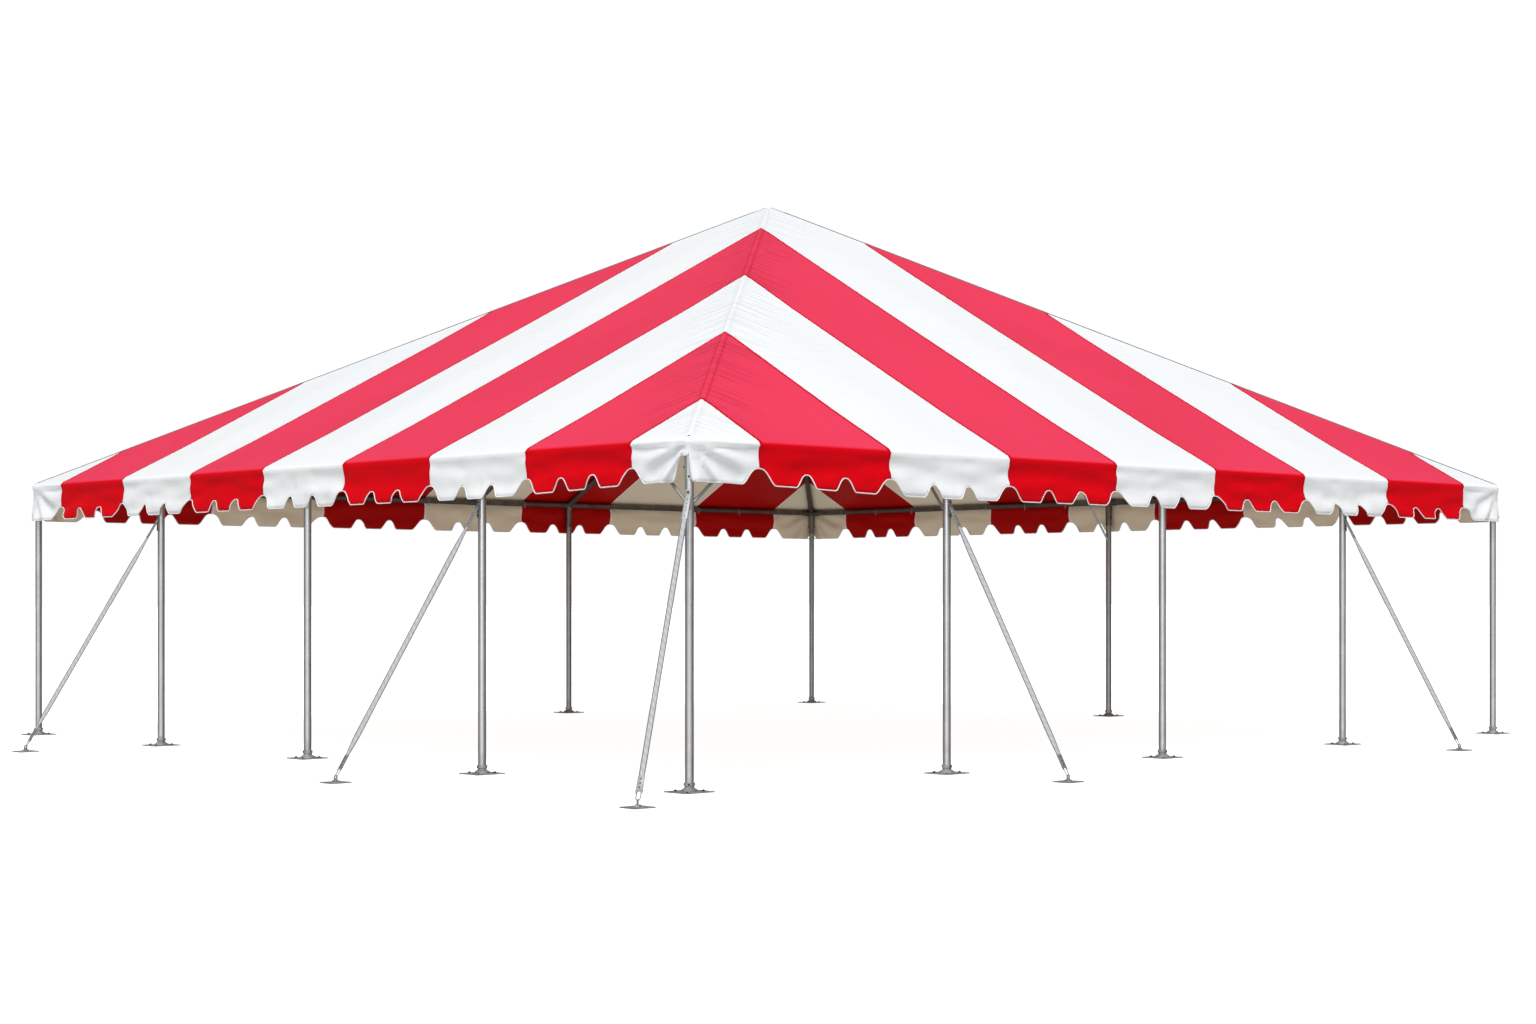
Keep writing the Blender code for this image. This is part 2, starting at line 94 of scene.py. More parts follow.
class Wire:
    """A shader socket that sums, products and comparisons are written with."""

    def __init__(self, finish, socket):
        self.finish = finish
        self.socket = socket

    def reckon(self, operation, *values):
        """The Math node of this operation, fed with the values."""
        return self.finish.node("Math", {"operation": operation}, dict(enumerate(values)))

    def __add__(self, other):
        return self.reckon("ADD", self, other)

    def __radd__(self, other):
        return self.reckon("ADD", other, self)

    def __sub__(self, other):
        return self.reckon("SUBTRACT", self, other)

    def __rsub__(self, other):
        return self.reckon("SUBTRACT", other, self)

    def __mul__(self, other):
        return self.reckon("MULTIPLY", self, other)

    def __rmul__(self, other):
        return self.reckon("MULTIPLY", other, self)

    def __truediv__(self, other):
        return self.reckon("DIVIDE", self, other)

    def __rtruediv__(self, other):
        return self.reckon("DIVIDE", other, self)

    def __mod__(self, other):
        return self.reckon("FLOORED_MODULO", self, other)

    def __rmod__(self, other):
        return self.reckon("FLOORED_MODULO", other, self)

    def __lt__(self, other):
        return self.reckon("LESS_THAN", self, other)

    def __gt__(self, other):
        return self.reckon("GREATER_THAN", self, other)

    def __abs__(self):
        return self.reckon("ABSOLUTE", self)

    def sine(self):
        return self.reckon("SINE", self)

    def floor(self):
        return self.reckon("FLOOR", self)

    def least(self, other):
        return self.reckon("MINIMUM", self, other)

    def most(self, other):
        return self.reckon("MAXIMUM", self, other)

    def soft_least(self, other, softness):
        return self.reckon("SMOOTH_MIN", self, other, softness)

    def ramp(self, low, high):
        """0 below low, 1 above high, and a soft ramp between them."""
        names = {"Value": self, "From Min": low, "From Max": high}
        return self.finish.node("MapRange", {"interpolation_type": "SMOOTHSTEP"}, names)


class Nodes:
    """A node tree, whose nodes are all made and linked with these methods."""

    def __init__(self, tree):
        self.tree = tree

    def feed(self, socket, value):
        """Give a socket a value or a link."""
        if isinstance(value, Wire):
            self.tree.links.new(value.socket, socket)
        elif isinstance(value, (tuple, Vector)) and len(socket.default_value) == 4:
            socket.default_value = (*value, 1.0)
        else:
            socket.default_value = value

    def node(self, kind, settings=None, values=None, output=0):
        """Any node: its settings come first, then the values or links of its sockets."""
        made = self.tree.nodes.new("ShaderNode" + kind)
        for name, value in (settings or {}).items():
            if name == "stops":
                ramp = made.color_ramp.elements
                while len(ramp) < len(value):
                    ramp.new(0.5)
                for stop, (position, colour) in zip(ramp, value):
                    stop.position = position
                    stop.color = (*colour, 1.0)
            else:
                setattr(made, name, value)
        for name, value in (values or {}).items():
            self.feed(made.inputs[name], value)
        return Wire(self, made.outputs[output]) if made.outputs else None

    def axes(self, vector):
        """The three numbers of a vector."""
        return [self.node("SeparateXYZ", {}, {0: vector}, axis) for axis in range(3)]

    def joined(self, x, y, z):
        """A vector from three numbers."""
        return self.node("CombineXYZ", {}, {0: x, 1: y, 2: z})


class Finish(Nodes):
    """A material under construction."""

    def __init__(self, name, **settings):
        self.material = bpy.data.materials.new(name)
        self.material.use_nodes = True
        super().__init__(self.material.node_tree)
        self.shader = self.tree.nodes["Principled BSDF"]
        for socket, value in settings.items():
            self.set(socket, value)

    def set(self, socket, value):
        """Give a socket of the shader, named with underscores for spaces, a value or a link."""
        self.feed(self.shader.inputs[socket.replace("_", " ")], value)

    def place(self, centre=(0, 0, 0), scale=(1, 1, 1)):
        """Object coordinates measured from a centre, then scaled."""
        coordinates = self.node("TexCoord", output="Object")
        moved = self.node("VectorMath", {"operation": "SUBTRACT"}, {0: coordinates, 1: tuple(centre)})
        return self.node("Mapping", {}, {"Vector": moved, "Scale": scale})

    def speckle(self, scale, vector=None, detail=2.0):
        """A cloudy pattern from 0 to 1."""
        vector = vector or self.place()
        return self.node("TexNoise", {}, {"Vector": vector, "Scale": scale, "Detail": detail})

    def cells(self, scale):
        """A pattern of cells, as crystals have, each in a tone of its own."""
        return self.node("TexVoronoi", {}, {"Vector": self.place(), "Scale": scale}, "Color")

    def mix(self, share, first, second, blend="MIX"):
        """One colour going over into another."""
        settings = {"data_type": "RGBA", "blend_type": blend}
        return self.node("Mix", settings, {0: share, 6: first, 7: second}, 2)

    def bump(self, height, distance, strength=1.0):
        """Raise the surface by a height from 0 to 1 times the distance."""
        values = {"Height": height, "Distance": distance, "Strength": strength}
        self.set("Normal", self.node("Bump", {}, values))


RED_CLOTH = (0.70, 0.0012, 0.007)
# The red of the slopes is lighter and pinker: a painted sheen of the bright sky on the upper cloth
RED_SLOPE_PAINTED_SHEEN = (0.82, 0.046, 0.106)
RED_SEAM = (0.60, 0.0012, 0.012)
WHITE_CLOTH = (0.86, 0.875, 0.885)
# The inside colours are painted light and shade: the white glows warm as if lit through the cloth, the red
# is darker as if in shade
RED_INSIDE_PAINTED_SHADE = (0.47, 0.004, 0.003)
WHITE_INSIDE_PAINTED_GLOW = (0.84, 0.74, 0.56)
SEAM_INSIDE = (0.92, 0.90, 0.86)
# A painted grey line of shade for the two side hips
SHADE_LINE_GREY = (0.13, 0.135, 0.13)
PULL_PAINTED_SHADE = (0.5, 0.4, 0.45)
SOILED = (0.80, 0.78, 0.75)

# Metres from a seam: the red edge, the weld, its middle line and the pale seam inside
RED_EDGE = 0.035
WELD_WIDTH = 0.020
WELD_LINE = 0.003
INSIDE_SEAM = 0.014

# Metres along the side from a hip: the lap's edge line, the painted grey line of shade and how round the
# tips are
LAP_LINE = (0.035, 0.055)
SHADE_LINE_WIDTH = 0.045
TIP_ROUND = 0.2


def stripes(look):
    """Where each point is on the canopy: its place, how far along its side and how far from the middle it
    is, whether its cloth is red, and how far away the nearest seam and the hip are."""
    x, y, z = look.axes(look.place(CENTRE))
    across, outward = abs(x), abs(y)
    along = across.soft_least(outward, TIP_ROUND)
    down_side = across.least(outward)
    along = down_side + (along - down_side) * (z > EAVE)
    share = along / STRIPE + 0.5
    red = share.floor() % 2.0
    seam = (0.5 - abs(share % 1.0 - 0.5)) * STRIPE
    hip = abs(across - outward)
    reach = across.most(outward)
    return {"x": x, "y": y, "z": z, "along": along, "red": red, "seam": seam, "hip": hip, "reach": reach}


def cloth_finish(name, red_colour, painted_sheen_red, white_colour, seam_colour, inside):
    """Coated cloth in red and white stripes, welded along the borders and lapped over the hips, with
    pull lines along the front and back hips whose creases are darkened with painted shade, a painted grey
    line of shade along the two other hips, and a painted sheen of the sky that lightens the red of the
    slopes."""
    look = Finish(name, Specular_IOR_Level=0.05)
    part = stripes(look)
    tone = look.speckle(0.55, detail=3.0)
    mottle = look.speckle(9.0, detail=3.0)
    # Above the eave the red takes the painted sheen of the sky
    red = look.mix(part["z"].ramp(EAVE - 0.02, EAVE + 0.008), red_colour, painted_sheen_red)
    red = look.mix(tone.ramp(0.3, 0.7) * 0.1, red, tuple(0.5 * c for c in red_colour))
    cooler = tuple(share * c for share, c in zip((0.975, 0.985, 1.0), white_colour))
    white = look.mix(tone.ramp(0.3, 0.7), white_colour, cooler)
    edge = (part["seam"] < RED_EDGE) * part["red"]
    red = look.mix(edge, red, seam_colour)
    lap = (part["hip"] < LAP_LINE[1]) * (part["hip"] > LAP_LINE[0]) * (part["z"] > EAVE)
    red = look.mix(lap * 0.4, red, seam_colour)
    colour = look.mix(part["red"], white, red)
    weld = (part["seam"] < WELD_WIDTH) * 0.6 + (part["seam"] < WELD_LINE) * 0.4
    if inside:
        colour = look.mix((part["seam"] < INSIDE_SEAM) * 0.85, colour, SEAM_INSIDE)
    soiling = (1.0 - part["z"].ramp(2.5, 3.0)) * look.speckle(3.0, detail=4.0).ramp(0.45, 0.8)
    colour = look.mix(soiling * 0.3, colour, SOILED, "MULTIPLY")
    colour = look.mix(mottle * 0.05, colour, tuple(0.6 * c for c in white_colour), "MULTIPLY")
    slope = part["z"].ramp(EAVE - 0.02, EAVE + 0.2)
    up_hip = (part["reach"] + part["along"]) * 13.0
    wrinkles = look.speckle(1.0, look.joined(up_hip, part["hip"] * 1.1, part["x"] * 0.15), detail=1.0)
    side_hip = part["x"] * part["y"] < 0.0
    near_hip = (1.0 - part["hip"].ramp(0.15, 1.0)) * slope * (1.0 - side_hip * 0.9)
    # Painted shade darkens the creases of the pull lines near the hips
    crease_painted_shade = wrinkles.ramp(0.48, 0.66) * near_hip * (0.08 + 0.24 * part["red"])
    colour = look.mix(crease_painted_shade, colour, PULL_PAINTED_SHADE, "MULTIPLY")
    if not inside:
        # A painted grey line of shade along the ridge of the two side hips
        shade_line = (part["hip"] < SHADE_LINE_WIDTH) * side_hip * (part["z"] > EAVE + 0.02)
        colour = look.mix(shade_line * 0.8, colour, SHADE_LINE_GREY)
    look.set("Base_Color", colour)
    look.set("Roughness", 0.28 + 0.12 * mottle)
    drape = look.speckle(1.0, look.joined(part["reach"] * 7.0, part["along"] * 0.8, 0.0), detail=3.0)
    weave = look.speckle(70.0, detail=1.0)
    height = drape * slope * 0.35 - wrinkles * near_hip * 0.9 + weave * 0.02 + weld * 0.10
    look.bump(height, 0.02, 0.9)
    return look.material


# Each zinc skin: its bright tone, its dark tone and its roughness
NEAR_ZINC = ((0.60, 0.61, 0.62), (0.45, 0.455, 0.46), 0.34)
# Painted shade: the three far legs are darker, as they stand in the canopy's shade
FAR_LEG_SHADED_ZINC = ((0.35, 0.335, 0.32), (0.22, 0.21, 0.20), 0.32)
# Painted shade: the darker brownish zinc of the beams and rafters under the canopy
SHADED_ZINC = ((0.24, 0.215, 0.195), (0.12, 0.105, 0.092), 0.42)
STRIP_ZINC = ((0.47, 0.48, 0.49), (0.35, 0.36, 0.37), 0.62)
# The lighter tone of the beams' parts below the eave pipes, out of the painted shade
BRACE_TONE = (0.55, 0.55, 0.54)
GRIME = (0.16, 0.14, 0.12)
UNDER_EAVE_PIPES = (2.78, 2.86)


def steel_finish(name, bright, dark, rough, low_tone=None):
    """Zinc-coated steel: soft crystals, streaks down the length, and a dull bloom. A low tone takes
    over below the eave pipes."""
    look = Finish(name, Metallic=0.85, Roughness=rough)
    crystals = look.cells(45.0)
    bloom = look.speckle(6.0, detail=4.0)
    streaks = look.speckle(1.0, look.place(scale=(60, 60, 2.5)), detail=3.0)
    share = crystals * 0.12 + bloom * 0.55 + streaks * 0.38
    colour = look.mix(share.ramp(0.25, 0.85), dark, bright)
    z = look.axes(look.place())[2]
    if low_tone:
        colour = look.mix(z.ramp(*UNDER_EAVE_PIPES), low_tone, colour)
    grime = (1.0 - z.ramp(0.02, 0.35)) * look.speckle(14.0, detail=5.0).ramp(0.4, 0.75)
    colour = look.mix(grime * 0.45, colour, GRIME)
    look.set("Base_Color", colour)
    look.set("Roughness", rough - 0.06 + 0.14 * share + 0.2 * grime)
    look.bump(look.speckle(160.0, detail=2.0) * 0.5 + crystals * 0.2, 0.0004, 0.12)
    return look.material


CAST_DARK = (0.30, 0.30, 0.30)
CAST_BRIGHT = (0.46, 0.46, 0.455)
CAST_HOLLOW = (0.17, 0.16, 0.15)


def casting_finish():
    """Cast fittings, dull grey with a sandy skin and darker hollows."""
    look = Finish("cast_grey", Metallic=0.6, Roughness=0.55)
    skin = look.speckle(120.0, detail=4.0)
    cloud = look.speckle(12.0, detail=4.0)
    colour = look.mix(cloud.ramp(0.3, 0.7), CAST_DARK, CAST_BRIGHT)
    colour = look.mix(skin.ramp(0.55, 0.8) * 0.4, colour, CAST_HOLLOW)
    look.set("Base_Color", colour)
    look.set("Roughness", 0.42 + 0.25 * cloud)
    look.bump(skin, 0.0015, 0.7)
    return look.material


canopy_outside = cloth_finish("striped_cloth", RED_CLOTH, RED_SLOPE_PAINTED_SHEEN, WHITE_CLOTH, RED_SEAM, False)
# The inside of the cloth takes the painted glow and shade of these colours
canopy_inside = cloth_finish("striped_cloth_inside_painted_light", RED_INSIDE_PAINTED_SHADE, RED_INSIDE_PAINTED_SHADE, WHITE_INSIDE_PAINTED_GLOW, RED_INSIDE_PAINTED_SHADE, True)
steel = steel_finish("zinc_steel", *NEAR_ZINC)
casting = casting_finish()


def tape_finish(name, pale, dark):
    """Woven tape: the binding sewn over the scalloped edge, and the ties."""
    look = Finish(name, Roughness=0.6)
    grain = look.speckle(260.0, detail=1.0)
    look.set("Base_Color", look.mix(grain.ramp(0.4, 0.7), pale, dark))
    look.bump(grain, 0.001, 0.6)
    return look.material


WEBBING_PALE = (0.50, 0.52, 0.54)
WEBBING_DARK = (0.29, 0.31, 0.33)
WEBBING_EDGE = (0.13, 0.135, 0.14)
WEBBING_DUST = (0.40, 0.37, 0.33)
TWILL_PITCH = 0.011
BAND_PITCH = 0.06
SELVEDGE = (0.0145, 0.0185)


def webbing_finish():
    """Flat woven strap: a twill that slants across it, with dark selvedges. Its UV map is in metres."""
    look = Finish("strap_webbing", Roughness=0.7)
    across, along, _ = look.axes(look.node("UVMap", {"uv_map": "length"}))
    rib = ((along * 0.5 + across) * (2 * pi / TWILL_PITCH)).sine() * 0.5 + 0.5
    band = ((along * 0.9 + across) * (2 * pi / BAND_PITCH)).sine() * 0.5 + 0.5
    selvedge = abs(across).ramp(*SELVEDGE)
    dust = look.speckle(5.0, detail=4.0)
    colour = look.mix(rib * 0.35 + band * 0.4, WEBBING_PALE, WEBBING_DARK)
    colour = look.mix(selvedge, colour, WEBBING_EDGE)
    colour = look.mix(dust.ramp(0.5, 0.8) * 0.3, colour, WEBBING_DUST)
    look.set("Base_Color", colour)
    look.bump(rib * (1.0 - selvedge) + selvedge * 0.6, 0.001, 0.7)
    return look.material


BOLT_BLACK = (0.045, 0.040, 0.037)
BOLT_WORN = (0.17, 0.16, 0.15)


def dark_steel_finish():
    """Blackened bolts and pins with worn bright corners."""
    look = Finish("dark_bolt_steel", Metallic=0.8, Roughness=0.5)
    wear = look.speckle(180.0, detail=3.0)
    look.set("Base_Color", look.mix(wear.ramp(0.5, 0.75), BOLT_BLACK, BOLT_WORN))
    look.set("Roughness", 0.40 + 0.3 * wear)
    look.bump(wear, 0.0008, 0.5)
    return look.material


# The pale and the dark tone of each tape
BINDING_TONES = ((0.85, 0.86, 0.87), (0.70, 0.71, 0.73))
TIE_TONES = ((0.30, 0.27, 0.24), (0.18, 0.16, 0.14))

binding = tape_finish("white_binding", *BINDING_TONES)
tie_cloth = tape_finish("grey_tape", *TIE_TONES)
webbing = webbing_finish()
dark_steel = dark_steel_finish()
# The beams, rafters and crown under the canopy get painted shade; their parts below the eave pipes keep a
# lighter tone
shade_steel = steel_finish("zinc_steel_painted_shade", *SHADED_ZINC, BRACE_TONE)
far_shaded_steel = steel_finish("zinc_steel_painted_deep_shade", *SHADED_ZINC)
far_leg_shaded_steel = steel_finish("zinc_steel_painted_shade_far_legs", *FAR_LEG_SHADED_ZINC)
strap_steel = steel_finish("zinc_strip_steel", *STRIP_ZINC)

# The far beams and corner fitting get the painted shade all over, below the eave pipes too
FAR_FRAME = ("eave_beam_back", "eave_beam_right", "corner_fitting_back_right")
# These three legs get the darker zinc of painted shade
FAR_LEGS = ("leg_back_1", "leg_back_right", "leg_right_1")


def finish_of(node):
    """The material of a node's own solid."""
    if node.startswith(("foot", "guy_anchor")):
        return casting
    if node in FAR_FRAME:
        return far_shaded_steel
    if node in FAR_LEGS:
        return far_leg_shaded_steel
    if node.startswith(("eave_beam", "main_rafter", "hip_rafter", "crown")):
        return shade_steel
    return steel


for node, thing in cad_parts.items():
    for place in thing.material_slots:
        place.material = finish_of(node)


# The canopy: one sheet from the peak over the eave to the scalloped edge

# The scallops: a wide notch at each border of a stripe and two narrow ones in between, each with its
# width and height, a tall notch at one side of three corners and a slit in the corner itself
NOTCH_OFFSET = 0.225
NOTCH_SHAPE = 1.35
WIDE_NOTCH = (0.38, 0.14)
NARROW_NOTCH = (0.245, 0.117)
CORNER_NOTCH = 0.215
CORNER_NOTCH_SIDE = (0.11, 0.205)
SLIT_TOP = 2.81
SLIT_REACH = 0.05
NOTCHED_CORNERS = {"left": [1], "back": [1], "right": [-1], "front": []}

# The slopes: the sag between rafters, where it fades out before the eave, and the raised hip tape
SAG = 0.022
SAG_FADE = (0.9, 0.03)
HIP_TAPE_WIDTH = 0.021
HIP_TAPE_RISE = 0.005
HIP_TAPE_START = 0.15

# How far the valance stands out: its flare, the tuck under the eave, its billows, ripples and creases
FLARE = 0.032
FLARE_DROP = (0.06, 0.46)
TUCK = 0.008
TUCK_DROP = 0.11
BILLOW = 0.008
BILLOW_LENGTH = 0.27
RIPPLE = 0.019
FINE_RIPPLE = 0.007
LEG_CREASE = 0.0035
CREASE_WIDTH = 0.012
CREASE_SPREAD = 0.03
CREASE_SLANT = 0.45
DEEPEST_DIP = 0.014
DIP_AT_LEG = 0.004
DIP_BESIDE_LEG = 0.02

# The two ends of sides that meet at the near corner, where the folds are deepest and lift the cloth
NEAR_CORNER = [("front", False), ("left", True)]
DEEP_FOLDS = 0.10
SHALLOW_FOLDS = 0.055
FOLD_START = 0.16
FOLD_SPREAD = 0.46
FOLD_GROWTH = 0.4
FOLD_FADE = (0.5, 0.9)
CORNER_LIFT = 0.06
LIFT_REACH = 3.2

# The canopy's mesh and the tape round its edge
GRID_CELLS = 80
HIP_CUTS = (0, 0.02, 0.028, 0.07)
PEAK_REACH = 0.4
RIM_CUTS = 5
BINDING_STEPS = 960
BINDING_RADIUS = 0.0055


def bell(share):
    """The height, 0 to 1, of a notch at -1 to 1 of its half width."""
    return (1 + cos(pi * min(1.0, abs(share)) ** NOTCH_SHAPE)) / 2


def lower_edge(side, along):
    """The height of the valance's lower edge, along a side from -HALF at its left end."""
    spot = abs(along) / STRIPE
    to_border = (abs(spot - floor(spot) - 0.5)) * STRIPE
    from_middle = abs(abs(spot - floor(spot + 0.5)) * STRIPE - NOTCH_OFFSET)
    rise = 0.0
    if abs(along) < HALF - STRIPE / 4:
        rise = WIDE_NOTCH[1] * bell(to_border / (WIDE_NOTCH[0] / 2))
        if abs(along) < HALF - STRIPE / 2 - NOTCH_OFFSET / 2:
            rise = max(rise, NARROW_NOTCH[1] * bell(from_middle / (NARROW_NOTCH[0] / 2)))
    to_corner = HALF - abs(along)
    end = 1 if along > 0 else -1
    if end in NOTCHED_CORNERS[side]:
        rise = max(rise, CORNER_NOTCH * (1 - smooth_step(*CORNER_NOTCH_SIDE, to_corner)))
    if (side, along > 0) in NEAR_CORNER:
        rise += CORNER_LIFT * (1 - smooth_step(0.0, LIFT_REACH, to_corner))
    slit = (SLIT_TOP - TONGUE_END) * (1 - to_corner / SLIT_REACH)
    return TONGUE_END + max(rise, slit)


def roof_height(x, y):
    """The height of the stretched cloth, which sags a little between the rafters."""
    reach, along = max(abs(x), abs(y)), min(abs(x), abs(y))
    hip = (reach - along) / sqrt(2)
    smoothed = sqrt(reach**2 + PEAK_ROUND**2)
    height = EAVE + RISE * (HALF - smoothed)
    if along < BAY:
        width = min(BAY, reach)
        share = along / width if width > 0.01 else 0
    else:
        width = max(reach - BAY, 0.01)
        share = (along - BAY) / width
    sag = SAG * 4 * share * (1 - share) * (width / BAY) ** 1.5
    sag *= 1 - smooth_step(HALF - SAG_FADE[0], HALF - SAG_FADE[1], reach)
    height -= sag
    if hip < HIP_TAPE_WIDTH and reach > HIP_TAPE_START:
        height += HIP_TAPE_RISE
    return height


def corner_folds(depth, to_corner, drop):
    """Folds that fan out from the top of a corner, deeper further from it."""
    away = hypot(to_corner, drop)
    angle = atan2(drop, to_corner)
    strength = depth * min(away, FOLD_GROWTH) * (1 - smooth_step(*FOLD_FADE, away))
    fan = sin(2 * pi * (angle - FOLD_START) / FOLD_SPREAD)
    return strength * fan * smooth_step(0.02, 0.14, away) * smooth_step(0.0, 0.1, to_corner)


def valance_bulge(side, along, drop):
    """How far the hanging cloth stands out from the straight drop."""
    number = list(SIDES).index(side)
    to_corner = HALF - abs(along)
    flare = FLARE * smooth_step(*FLARE_DROP, drop)
    roll = EAVE_ROLL * (1 - smooth_step(0.0, TUCK_DROP, drop))
    tuck = -TUCK * (drop / TUCK_DROP) * exp(1 - drop / TUCK_DROP)
    fade = smooth_step(0.0, 0.12, drop)
    drift = noise.noise(Vector((along * 0.9, number * 7.0, 0.3)))
    billow = BILLOW * sin(2 * pi * (drop / BILLOW_LENGTH + 0.8 * drift))
    slanting = Vector((along * 1.8 + drop * 3.5, drop * 8.0 - along * 0.8, number * 3.0 + 5.0))
    ripple = RIPPLE * noise.noise(slanting)
    fine = FINE_RIPPLE * noise.noise(Vector((along * 6.0, drop * 10.0, number * 5.0 + 1.0)))
    bulge = flare + roll + tuck + fade * (billow + ripple + fine) * smooth_step(0.1, 0.7, to_corner)
    depth = DEEP_FOLDS if (side, along > 0) in NEAR_CORNER else SHALLOW_FOLDS
    bulge += corner_folds(depth, to_corner, drop)
    for leg in (-BAY, 0, BAY):
        aside = abs(along - leg)
        upright = exp(-((aside / CREASE_WIDTH) ** 2))
        slanted = exp(-(((aside - CREASE_SLANT * drop) / CREASE_SPREAD) ** 2))
        bulge += LEG_CREASE * (upright + 0.7 * slanted) * fade
        bulge = max(bulge, -DIP_AT_LEG - DIP_BESIDE_LEG * smooth_step(0.1, 0.3, aside))
    return max(bulge, -DEEPEST_DIP)


def perimeter_point(side, along, out):
    """A point on the rounded square that stands out from the eave by a distance."""
    half = HALF + out
    along = along * half / HALF
    middle = half - CORNER_ROUND
    over = abs(along) - middle
    if over <= 0:
        flat = (along, -half, 0)
    else:
        angle = radians(45) * over / CORNER_ROUND
        end = 1 if along > 0 else -1
        flat = (end * (middle + CORNER_ROUND * sin(angle)), -middle - CORNER_ROUND * cos(angle), 0)
    return turned(SIDES[side], flat)


def cloth_point(side, along, row):
    """Where the cloth is in a row of its skirt: over the eave first, then down the valance."""
    top = EAVE - EAVE_TANGENT
    if row <= ARC_ROWS:
        angle = EAVE_TURN * (1 - row / ARC_ROWS)
        out = -EAVE_ROUND + EAVE_ROUND * cos(angle) + EAVE_ROLL * (row / ARC_ROWS) ** 2
        point = perimeter_point(side, along, out)
        point.z = top + EAVE_ROUND * sin(angle)
        return point + CENTRE
    share = (row - ARC_ROWS) / DROP_ROWS
    drop = (top - lower_edge(side, along)) * share
    point = perimeter_point(side, along, valance_bulge(side, along, drop))
    point.z = top - drop
    return point + CENTRE


def side_of(x, y):
    """The side that a point of the outline belongs to, and how far along it is."""
    if abs(y) >= abs(x):
        return ("front", x) if y < 0 else ("back", -x)
    return ("right", y) if x > 0 else ("left", -y)


def finish_piece(bm, name, finish):
    """Make a bmesh a smooth object of its own that rides with the tent."""
    mesh = bpy.data.meshes.new(name)
    for face in bm.faces:
        face.smooth = True
    bm.to_mesh(mesh)
    bm.free()
    piece = bpy.data.objects.new(name, mesh)
    bpy.context.scene.collection.objects.link(piece)
    for material in finish if isinstance(finish, list) else [finish]:
        mesh.materials.append(material)
    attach(piece, "root")
    return piece


def make_canopy():
    """The whole canopy: a grid cut along the hips and finer at the peak and the rim, whose rim then
    grows row by row over the eave and down the valance."""
    bm = bmesh.new()
    edge = HALF - EAVE_TANGENT * cos(PITCH)
    bmesh.ops.create_grid(bm, x_segments=GRID_CELLS, y_segments=GRID_CELLS, size=edge)
    for turn in (45, 135):
        across = turned(turn, (0, 1, 0))
        for offset in HIP_CUTS:
            for step in sorted({-offset, offset}):
                cut = bm.verts[:] + bm.edges[:] + bm.faces[:]
                bmesh.ops.bisect_plane(bm, geom=cut, plane_co=across * step, plane_no=across, dist=1e-5)
    peak = [e for e in bm.edges if all(v.co.length < PEAK_REACH for v in e.verts)]
    bmesh.ops.subdivide_edges(bm, edges=peak, cuts=1, use_grid_fill=True)
    rim = [e for e in bm.edges if e.is_boundary and e.calc_length() > 0.1]
    bmesh.ops.subdivide_edges(bm, edges=rim, cuts=RIM_CUTS)
    wide = [f for f in bm.faces if len(f.verts) > 4]
    bmesh.ops.triangulate(bm, faces=wide)
    rows = bm.verts.layers.int.new("row")
    ring = [e for e in bm.edges if e.is_boundary]
    for row in range(1, ARC_ROWS + DROP_ROWS + 1):
        grown = bmesh.ops.extrude_edge_only(bm, edges=ring)["geom"]
        for vert in grown:
            if isinstance(vert, bmesh.types.BMVert):
                vert[rows] = row
        ring = [e for e in grown if isinstance(e, bmesh.types.BMEdge) and e.is_boundary]
    for vert in bm.verts:
        x, y = vert.co.x, vert.co.y
        if vert[rows] == 0:
            vert.co = CENTRE + Vector((x, y, roof_height(x, y)))
        else:
            side, along = side_of(x, y)
            vert.co = cloth_point(side, along * HALF / edge, vert[rows])
    bmesh.ops.recalc_face_normals(bm, faces=bm.faces[:])
    piece = finish_piece(bm, "canopy", [canopy_outside, canopy_inside])
    thickness = piece.modifiers.new("thickness", "SOLIDIFY")
    thickness.thickness = CLOTH_THICKNESS
    thickness.offset = -1
    thickness.material_offset = 1
    return piece


canopy = make_canopy()
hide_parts(*["roof_panel_" + side for side in SIDES], *["valance_" + side for side in SIDES])


def make_binding():
    """The tape along the whole scalloped edge, one closed loop."""
    points = []
    for side in SIDES:
        for i in range(BINDING_STEPS):
            along = -HALF + 2 * HALF * i / BINDING_STEPS
            points.append(cloth_point(side, along, ARC_ROWS + DROP_ROWS))
    curve = bpy.data.curves.new("valance_binding", "CURVE")
    curve.dimensions = "3D"
    curve.bevel_depth = BINDING_RADIUS
    curve.bevel_resolution = 1
    line = curve.splines.new("POLY")
    line.points.add(len(points) - 1)
    for spot, point in zip(line.points, points):
        spot.co = (*point, 1)
    line.use_cyclic_u = True
    piece = bpy.data.objects.new("valance_binding", curve)
    bpy.context.scene.collection.objects.link(piece)
    curve.materials.append(binding)
    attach(piece, "root")
    return piece


edge_tape = make_binding()

# Straps, bolts and ties

EYE_HEIGHT = 0.052
STRAP_REACH = 1.5
STRAP_TOP = 2.45

# The woven strap: its lap, where it starts over the fork and where its twist comes and goes
STRAP_WIDTH = 0.05
STRAP_THICKNESS = 0.0032
STRAP_START = 0.035
LAP_LENGTH = 0.22
LAP_THICKNESS = 0.0022
LAP_OUT = 0.0026
TWIST_STEPS = 36
TWIST_START = (0.05, 0.35)
TWIST_END = 0.6

